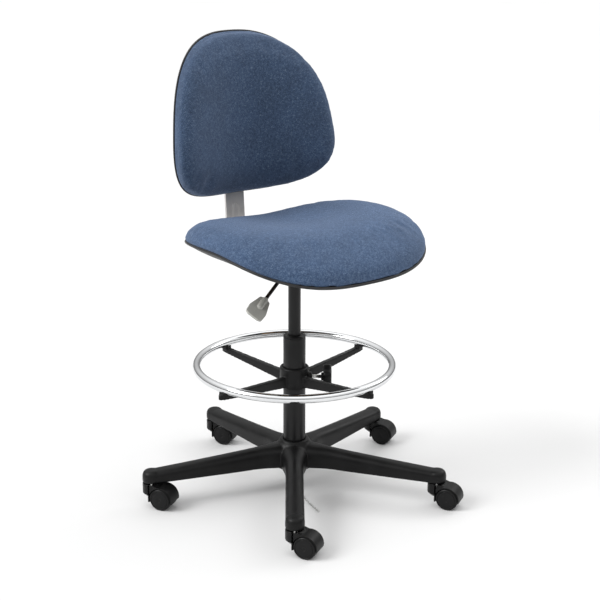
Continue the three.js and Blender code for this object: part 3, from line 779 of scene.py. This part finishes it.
# ---- Back support ----
def bar_line(side, start, top, steps=20):
    """A line beside the bar's middle: level out of the mechanism, round the bend, then up."""
    bend = math.pi / 2 - math.atan(BACK_LEAN)
    foot = BACK_Y + BAR_BEHIND - (BACK_Z - BAR_LEVEL) * BACK_LEAN
    centre = Vector((foot - BAR_BEND * math.tan(bend / 2), BAR_LEVEL + BAR_BEND))
    line = [Vector((start, BAR_LEVEL + side))]
    for i in range(steps + 1):
        angle = -math.pi / 2 + bend * i / steps
        line.append(centre + (BAR_BEND - side) * Vector((math.cos(angle), math.sin(angle))))
    last = line[-1]
    for i in range(1, 13):
        rise = (top - last.y) * i / 12
        line.append(Vector((last.x + rise * BACK_LEAN, last.y + rise)))
    return line


def back_upright():
    """The flat bar, with a rib pressed up along its middle that ends in an arch."""
    half = BAR_THICK / 2
    strap = bar_line(-half, 30, 845) + bar_line(half, 30, 845)[::-1]
    bar = new_piece("back_bar", *prism(strap, BAR_WIDTH, "X"), GREY_STEEL)
    bevelled(bar, 1.1, 3, 30)
    settle(bar, "back_arm", "grey_steel", "back_upright")
    settle(new_piece("back_bar_rib", *pressed_rib(half), GREY_STEEL), "back_arm", "grey_steel")


def pressed_rib(side):
    """A double ridge along the bar that narrows to nothing in an arch at its top."""
    path = bar_line(side, RIB_START, RIB_TOP - RIB_HALF_WIDTH)
    stations = []
    for i, here in enumerate(path):
        ahead = (path[min(i + 1, len(path) - 1)] - path[max(i - 1, 0)]).normalized()
        stations.append((here, ahead, RIB_HALF_WIDTH))
    here, ahead, _ = stations[-1]
    for k in range(1, 9):
        angle = math.pi / 2 * k / 8
        reach = max(RIB_HALF_WIDTH * math.cos(angle), 0.4)
        stations.append((here + ahead * RIB_HALF_WIDTH * math.sin(angle), ahead, reach))
    points, faces = [], []
    profile = [(-1, -0.6), (-0.86, 0.2), (-0.72, 1.3), (-0.52, 2.0), (-0.3, 1.7), (-0.16, 0.7), (0, 0.45),
               (0.16, 0.7), (0.3, 1.7), (0.52, 2.0), (0.72, 1.3), (0.86, 0.2), (1, -0.6)]
    for here, ahead, reach in stations:
        out = Vector((-ahead.y, ahead.x))
        lift = min(1, 0.25 + reach / RIB_HALF_WIDTH)
        for across, rise in profile:
            spot = here + out * (rise * lift if rise > 0 else rise)
            points.append((across * reach, spot.x, spot.y))
    around = len(profile)
    for i in range(len(stations) - 1):
        faces.extend((i * around + k, (i + 1) * around + k, (i + 1) * around + k + 1, i * around + k + 1)
                     for k in range(around - 1))
    return points, faces


def lobed_knob(radius, thick, lobes, stud_from, start):
    """A hand knob along +Z with rounded lobes, a crowned face and its stud."""
    sides = lobes * 16
    rings = [(0.0, 0.2), (0.9, 0.0), (0.975, 0.1), (1.0, 0.28), (1.0, 0.72), (0.965, 0.92), (0.88, 1.0),
             (0.5, 1.04), (0.42, 0.94), (0.0, 0.9)]
    points, faces = [], []
    for share, rise in rings[1:-1]:
        for i in range(sides):
            angle = TAU * i / sides
            wave = 0.072 * (1 - math.cos(lobes * angle)) * smoothstep((share - 0.4) * 2)
            reach = radius * share * (1 - wave)
            points.append((reach * math.cos(angle), reach * math.sin(angle), start + rise * thick))
    points += [(0, 0, start), (0, 0, start + rings[-1][1] * thick)]
    count = len(rings) - 2
    for i in range(sides):
        j = (i + 1) % sides
        faces.append((len(points) - 2, j, i))
        faces.extend((r * sides + i, r * sides + j, (r + 1) * sides + j, (r + 1) * sides + i)
                     for r in range(count - 1))
        faces.append(((count - 1) * sides + i, (count - 1) * sides + j, len(points) - 1))
    collar = lathe([(0, start - 5), (8, start - 5), (9, start - 4), (9.5, start + 1), (0, start + 1)], 32)
    return joined((points, faces), collar), lathe(
        [(0, stud_from), (3.4, stud_from), (4, stud_from + 0.8), (4, start - 4), (0, start - 4)], 24)


def add_knob(name, body, node, place, size, stud_from, start):
    grip, stud = lobed_knob(*size, stud_from, start)
    settle(new_piece(name, *moved(grip, place), SMALL_NYLON), body, "black_nylon", node)
    settle(new_piece(name + "_stud", *moved(stud, place), ZINC), body, "steel")


def back_bracket():
    """The channel behind the back, with lips that wrap the bar and a boss for the knob."""
    outer = fillet([(-30, 14.6), (30, 14.6), (30, 28), (-30, 28)], 4, 5, True)
    inner = [(-25.9, 16.6), (25.9, 16.6), (25.9, 23.4), (-25.9, 23.4)]
    shell = new_piece("back_channel", *prism(outer, 140, "Z"), BLACK_STEEL)
    cutter = new_piece("back_channel_cut", *prism(inner, 150, "Z"), BLACK_STEEL)
    carve(shell, cutter)
    apply_modifiers(shell)
    bpy.data.objects.remove(cutter)
    for vertex in shell.data.vertices:
        x, y, z = (vertex.co - COLUMN) / MM
        z -= 35
        vertex.co = Vector((x, BACK_Y + z * BACK_LEAN + y, BACK_Z + z)) * MM + COLUMN
    shell.data.materials.clear()
    shell.data.materials.append(BLACK_STEEL)
    bevelled(shell, 0.8, 2, 40)
    settle(shell, "backrest", "black_steel", "back_bracket")
    boss = lathe([(12, 0), (12, 3.4), (10.5, 4.6), (5, 4.6), (5, 0)], 40, True)
    knob_y = BACK_Y + HEIGHT_KNOB_UP * BACK_LEAN
    to_rear = shift(0, knob_y, BACK_Z + HEIGHT_KNOB_UP) @ turn(-90, "X")
    boss_piece = new_piece("back_channel_boss", *moved(boss, to_rear @ shift(z=27)), BLACK_STEEL)
    settle(boss_piece, "backrest", "black_steel")
    add_knob("back_height_knob", "height_knob", "height_knob", to_rear, SMALL_KNOB, 24, 34)
    screws = []
    for x in (-19, 19):
        for up in (-92, 22):
            head = lathe(fillet([(0, 27.4), (5.2, 27.4), (5.2, 29.4), (0, 30.6)], 1.4), 24)
            spot = shift(x, BACK_Y + up * BACK_LEAN, BACK_Z + up) @ turn(-90, "X")
            screws.append(moved(head, spot))
    settle(new_piece("back_channel_screws", *joined(*screws), ZINC), "backrest", "steel")


# ---- Mechanism and lever ----
def lever_frame():
    """From the lever's own frame, with +X out along the rod, to the chair's."""
    return shift(z=LEVER_HEIGHT) @ turn(LEVER_HEADING) @ turn(LEVER_DROOP, "Y")


def mechanism():
    """The stamped tray under the seat, its flange, stiffening beads and the gas lift's socket."""
    tray = [(-45, 515), (45, 515), (45, 549), (-45, 549)]
    body = prism(fillet(tray, [7, 7, 0, 0], 5, True), 180, "Y")
    flange = prism(fillet([(-80, -75), (80, -75), (80, 85), (-80, 85)], 12, 6, True), 3, "Z")
    socket = lathe([(0, 511), (17, 511), (19, 513), (19, 516), (0, 516)], 48)
    housing = new_piece("seat_mechanism", *joined(
        moved(body, shift(y=10)), moved(flange, shift(z=550.4)), socket), BLACK_STEEL)
    cutters = [
        new_piece("cut_slot", *block((-25.9, 26, 541.6), (25.9, 101, 548.4)), BLACK_STEEL),
        new_piece("cut_socket", *plug(14.4, 505, 527, 40), BLACK_STEEL),
        new_piece("cut_lever", *moved(block((6, -6.5, -7), (85, 6.5, 9)), lever_frame()), BLACK_STEEL),
    ]
    cast(housing, 1.6, 2, cutters)
    settle(housing, "lift", "black_steel", "mechanism_housing")
    beads = [sweep([(x, y, 520), (x, y, 543)], ring_section(2.4, 10))
             for x in (-45, 45) for y in (-50, -10, 50)]
    settle(new_piece("seat_mechanism_beads", *joined(*beads), BLACK_STEEL), "lift", "black_steel")
    add_knob("seat_depth_knob", "depth_knob", "depth_knob",
             shift(y=66) @ turn(180, "X"), SMALL_KNOB, -541.6, -506)


def lever():
    rod = lathe(fillet([(0, -6), (4, -6), (4, PADDLE_START + 16), (0, PADDLE_START + 16)], 0.8), 28)
    eye = lathe(fillet([(2.4, -4), (6.5, -4), (6.5, 4), (2.4, 4)], 0.6, 3, True), 32, True)
    pivot = 30 / math.cos(math.radians(LEVER_DROOP))
    shaft = joined(moved(rod, turn(90, "Y")), moved(eye, shift(x=pivot) @ turn(90, "X")))
    settle(new_piece("height_lever_rod", *moved(shaft, lever_frame()), BLACK_STEEL),
           "lever", "black_steel", "lever_rod")
    root, tip, end = 12, 21, PADDLE_END
    outline = [(PADDLE_START + 2, -root), (end - 26, -tip), (end - 4, -tip + 1.5), (end, -tip + 9),
               (end, tip - 9), (end - 4, tip - 1.5), (end - 26, tip), (PADDLE_START + 2, root)]
    plate = prism(fillet(outline, [6, 12, 5, 4, 4, 5, 12, 6], 5, True), 5, "Z")
    barrel = lathe(fillet([(0, PADDLE_START - 1), (7, PADDLE_START - 1), (7, PADDLE_START + 34),
                           (0, PADDLE_START + 44)], 2.5), 32)
    paddle = new_piece("height_lever_grip", *joined(
        moved(plate, turn(PADDLE_ROLL, "X")), moved(barrel, turn(90, "Y"))), GREY_GRIP)
    for vertex in paddle.data.vertices:
        vertex.co = (lever_frame() @ ((vertex.co - COLUMN) / MM)) * MM + COLUMN
    cast(paddle, 0.8, 5)
    settle(paddle, "lever", "grey_plastic", "lever_paddle")


# ---- Gas lift ----
def gas_lift():
    tube = fillet([(TUBE_BORE, 41), (TUBE_RADIUS, 41), (TUBE_RADIUS, TUBE_TOP), (TUBE_BORE, TUBE_TOP)],
                  0.5, 3, True)
    settle(new_piece("column", *lathe(tube, 96, True), BLACK_STEEL), "base", "black_steel", "column_tube")
    lip = TUBE_TOP + 0.3
    bush = [(14.4, 301), (22.2, 301), (22.2, lip), (TUBE_RADIUS, lip), (TUBE_RADIUS, lip + 3.4),
            (23.4, lip + 5), (19.5, lip + 5), (18.6, lip + 4),
            (16.4, lip + 4), (15.6, lip + 5), (14.4, lip + 5)]
    settle(new_piece("column_bush", *lathe(fillet(bush, 0.7, 3, True), 96, True), SMALL_NYLON),
           "base", "black_nylon", "guide_bush")
    cylinder = [(5.4, 190), (CYLINDER_RADIUS, 190), (CYLINDER_RADIUS, 524.5),
                (CYLINDER_RADIUS - 1, 526), (4.4, 526)]
    settle(new_piece("lift_cylinder", *lathe(fillet(cylinder, 0.8), 80), BLACK_STEEL),
           "lift", "black_steel", "pressure_cylinder")


# ---- Footring ----
def torus(radius, tube, height, around=192, sides=28):
    path = [(radius * math.cos(TAU * i / around), radius * math.sin(TAU * i / around), height)
            for i in range(around)]
    return sweep(path, ring_section(tube, sides), closed=True)


def footring():
    ring = new_piece("foot_ring", *torus(RING_RADIUS, RING_TUBE, RING_HEIGHT), CHROME)
    settle(ring, "footring", "chrome", "footring_ring")
    barrel = [(27.2, 243.5), (29.5, 243.5), (30.8, 248), (33, 256), (33, 289.5), (31.5, 292.5),
              (27.2, 292.5)]
    shapes = [lathe(barrel, 72, True)]
    blade = fillet([(-8, 248), (196, 273), (196, 285), (-8, 273)], [0, 5, 3, 0], 5, True)
    for k in range(4):
        out = turn(FIRST_SPOKE + 90 * k)
        spoke = moved(prism(blade, 12, "Y"), out @ shift(x=RING_RADIUS - 189))
        saddle = [(-8, 280), (8, 280), (8, 291), (-8, 291)]
        seat = moved(prism(fillet(saddle, [0, 0, 3, 3], 3, True), 14, "X"), out @ shift(x=RING_RADIUS))
        nose = moved(lathe([(0, 274), (6, 274), (6, 284), (4.5, 285.5), (0, 285.5)], 24),
                     out @ shift(x=RING_RADIUS + 7))
        shapes += [spoke, seat, nose]
    clamp = turn(CLAMP_HEADING) @ shift(z=CLAMP_HEIGHT) @ turn(90, "Y")
    shapes.append(moved(lathe([(0, 28), (11, 28), (10, 39), (9, 40), (0, 40)], 32), clamp))
    hub = new_piece("foot_ring_hub", *joined(*shapes), SMALL_NYLON)
    bore = new_piece("cut_bore", *plug(27.1, 200, 320, 72), SMALL_NYLON)
    stud_hole = new_piece("cut_stud", *moved(plug(4.3, 20, 50, 20), clamp), SMALL_NYLON)
    cast(hub, 1.5, 4, [bore, stud_hole])
    settle(hub, "footring", "black_nylon", "footring_hub")
    add_knob("foot_ring_knob", "clamp_knob", "clamp_knob", clamp, CLAMP_KNOB, 30, 65)


# ---- Base ----
def arm_section(half_width, bottom, top, steps=9):
    """Flat underside, upright sides and a round back, as (across, height)."""
    shoulder = bottom + (top - bottom) * 0.6
    points = [(-half_width, bottom), (half_width, bottom)]
    for i in range(steps + 1):
        angle = math.pi * i / steps
        points.append((half_width * math.cos(angle), shoulder + (top - shoulder) * math.sin(angle)))
    return points


def arm(inset=0.0):
    """One arm along +X; an inset arm is the hollow under it."""
    start, end = (HUB_CORE, STEM_CIRCLE - 30) if inset else (20, STEM_CIRCLE)
    stations = 26
    points, faces = [], []
    for i in range(stations):
        x = start + (end - start) * i / (stations - 1)
        along = min(max((x - 31) / (STEM_CIRCLE - 31), 0), 1)
        flare = 9 * math.exp(-((x - 38) / 30) ** 2)
        bottom = ARM_ROOT[0] + (ARM_TIP[0] - ARM_ROOT[0]) * along - (2 if inset else 0)
        top = ARM_ROOT[1] + (ARM_TIP[1] - ARM_ROOT[1]) * along ** 0.85 - inset
        section = arm_section(ARM_HALF_WIDTH - inset + (0 if inset else flare), bottom, top)
        points.extend((x, y, z) for y, z in section)
    around = len(section)
    for i in range(stations - 1):
        faces.extend((i * around + k, i * around + (k + 1) % around, (i + 1) * around + (k + 1) % around,
                      (i + 1) * around + k) for k in range(around))
    faces.append(tuple(reversed(range(around))))
    faces.append(tuple(range((stations - 1) * around, stations * around)))
    return points, faces


def base():
    hub = lathe([(0, 54), (44, 54), (45.5, 66), (45, 92), (41, 104), (36.5, 111), (33.5, 116), (32.5, 120),
                 (0, 120)], 72)
    shapes, hollows = [hub], []
    boss = lathe([(0, 58), (20.6, 58), (20.6, 74), (18.8, 80), (14.5, 84.4), (7.5, 86.2), (0, 86.6)], 40)
    for k in range(ARMS):
        out = turn(FIRST_ARM + 72 * k)
        shapes += [moved(arm(), out), moved(boss, out @ shift(x=STEM_CIRCLE))]
        hollows += [moved(arm(5), out), moved(plug(5.9, 50, 80, 20), out @ shift(x=STEM_CIRCLE))]
    star = new_piece("base_moulding", *joined(*shapes), BASE_NYLON)
    cutters = [
        new_piece("cut_well", *plug(25.2, 40, 130, 72), BASE_NYLON),
        new_piece("cut_hollows", *joined(*hollows), BASE_NYLON),
    ]
    cast(star, 1.7, 10)  # before its hollows are cut, so that its outer blends are broad
    cast(star, 1.7, 3, cutters)
    settle(star, "base", "black_nylon", "base_star")


# ---- Casters ----
def caster_hood():
    """The cover over both wheels: the stem stands on the origin and the axle trails along +X."""
    outline = [(0, 16), (0, HOOD_TOP), (12, HOOD_TOP)]
    for i in range(16):
        angle = math.radians(98 - 110 * i / 15)
        outline.append((TRAIL + HOOD_RADIUS * math.cos(angle),
                        AXLE_HEIGHT + HOOD_RADIUS * math.sin(angle)))
    outline += [(TRAIL + 16, 14), (TRAIL - 6, 13)]
    front = [(0, 23), (12, 25), (HOOD_NOSE, 33), (HOOD_NOSE, HOOD_TOP), (0, HOOD_TOP)]
    return joined(prism(outline, HOOD_WIDTH, "Y"), lathe(fillet(front, 1.5, 4), 48))


def caster_meshes():
    """One hood and one wheel, shared by all five casters."""
    hood = new_piece("caster_hood", *caster_hood(), SMALL_NYLON)
    well = plug(26.1, 3, 40, 56)
    wells = [moved(well, shift(TRAIL, 0, AXLE_HEIGHT) @ turn(side * -90, "X")) for side in (-1, 1)]
    cast(hood, 0.9, 4, [new_piece("cut_wells", *joined(*wells), SMALL_NYLON)])
    tread = [(4.4, 3.8), (21, 3.8), (24.2, 4.6), (WHEEL_RADIUS, 6.5), (WHEEL_RADIUS, 17.5),
             (24.2, 20), (22.6, 21), (21.2, 21.2), (20.6, 20.3), (19.4, 20.3), (18.8, 21.4),
             (10, 22), (4.6, 22.1), (3.9, 21.6), (0, 21.6)]
    wheel = new_piece("caster_wheel", *lathe(fillet(tread, 0.5, 3), 72), WHEEL_NYLON)
    return hood, wheel


def copy_of(piece, name, matrix):
    """A piece that shares a mesh drawn about the column, set down by a matrix in millimetres."""
    twin = bpy.data.objects.new(name, piece.data)
    bpy.context.collection.objects.link(twin)
    to_column = Matrix.Translation(COLUMN)
    scaled = matrix.copy()
    scaled.translation = matrix.translation * MM
    twin.matrix_world = to_column @ scaled @ to_column.inverted()
    return twin


def casters():
    hood, wheel = caster_meshes()
    for k in range(ARMS):
        stem = shift(*heading(FIRST_ARM + 72 * k, STEM_CIRCLE)) @ turn(TRAIL_HEADING)
        label = f"caster_{k + 1}"
        settle(copy_of(hood, label + "_cover", stem), label, "black_nylon", label + "_hood")
        for side, sign in (("left", 1), ("right", -1)):
            hub = stem @ shift(TRAIL, 0, AXLE_HEIGHT) @ turn(sign * -90, "X")
            settle(copy_of(wheel, f"{label}_{side}", hub), f"{label}_{side}", "wheel_nylon",
                   f"{label}_wheel_{side}")
    bpy.data.objects.remove(hood)
    bpy.data.objects.remove(wheel)


# ---- CAD pieces that show as they are ----
def finish_cad_nodes():
    """Gives the small turned and cut parts that stay in view their finish."""
    finishes = {
        "piston_rod": ZINC, "retaining_clip": ZINC, "thrust_bearing": ZINC, "release_button": ZINC,
        "lever_pivot_pin": ZINC, "chain_eye": ZINC, "clamp_pad": ZINC, "footring_bush": SMALL_NYLON,
        "seat_pan": PLYWOOD,
    }
    finishes.update({f"seat_screw_{i}": ZINC for i in range(1, 5)})
    finishes.update({f"caster_{k}_{piece}": ZINC for k in range(1, ARMS + 1) for piece in ("stem", "axle")})
    for name, material in finishes.items():
        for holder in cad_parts[name].material_slots:
            holder.material = material


# ---- Studio ----
def surround():
    """White light from overhead that falls away towards the horizon."""
    world = bpy.data.worlds.new("surround")
    world.use_nodes = True
    nodes, links = world.node_tree.nodes, world.node_tree.links
    place = nodes.new("ShaderNodeTexCoord").outputs["Generated"]
    split = nodes.new("ShaderNodeSeparateXYZ")
    ramp = nodes.new("ShaderNodeMapRange")
    links.new(place, split.inputs[0])
    links.new(split.outputs["Z"], ramp.inputs["Value"])
    for socket, value in (("From Min", 0.0), ("From Max", 0.85), ("To Min", 0.08), ("To Max", 1.4)):
        ramp.inputs[socket].default_value = value
    nodes["Background"].inputs["Color"].default_value = (1, 1, 1, 1)
    links.new(ramp.outputs[0], nodes["Background"].inputs["Strength"])
    bpy.context.scene.world = world


def studio_floor():
    """A pale floor that reaches far past the picture."""
    paint = Paint("floor", Specular_IOR_Level=0.2)
    tone = paint.ramp(paint.noise(0.6, 2), (0.3, (0.71, 0.71, 0.71)), (0.7, (0.73, 0.73, 0.73)))
    paint.color(tone).rough(paint.span(paint.noise(3, 2), 0.6, 0.75))
    corners = [(x * FLOOR_HALF, y * FLOOR_HALF, 0) for x, y in ((-1, -1), (1, -1), (1, 1), (-1, 1))]
    mesh = bpy.data.meshes.new("floor")
    mesh.from_pydata(corners, [], [(0, 1, 2, 3)])
    mesh.materials.append(paint.material)
    floor = bpy.data.objects.new("floor", mesh)
    bpy.context.collection.objects.link(floor)


def lamps():
    """A soft sun from the camera's left, and an area lamp behind the chair on the right."""
    aim_at = COLUMN + Vector((0, 0, 0.5))
    for name, kind, place, size, power in LAMPS:
        data = bpy.data.lights.new(name, kind)
        data.energy = power
        if kind == "SUN":
            data.angle = size
        else:
            data.size = size
        lamp = bpy.data.objects.new(name, data)
        lamp.location = turn(-CHAIR_TURN) @ Vector(place)
        lamp.rotation_euler = (aim_at - lamp.location).to_track_quat("-Z", "Y").to_euler()
        bpy.context.collection.objects.link(lamp)


def studio():
    """The floor, the white surround and the lamps, shown without a filmic look."""
    studio_floor()
    surround()
    lamps()
    scene = bpy.context.scene
    scene.view_settings.view_transform = "Standard"
    scene.view_settings.look = "None"


seat_cushion()
back_cushion()
seat_shell()
back_shell()
back_upright()
back_bracket()
mechanism()
lever()
gas_lift()
footring()
base()
casters()
finish_cad_nodes()
studio()
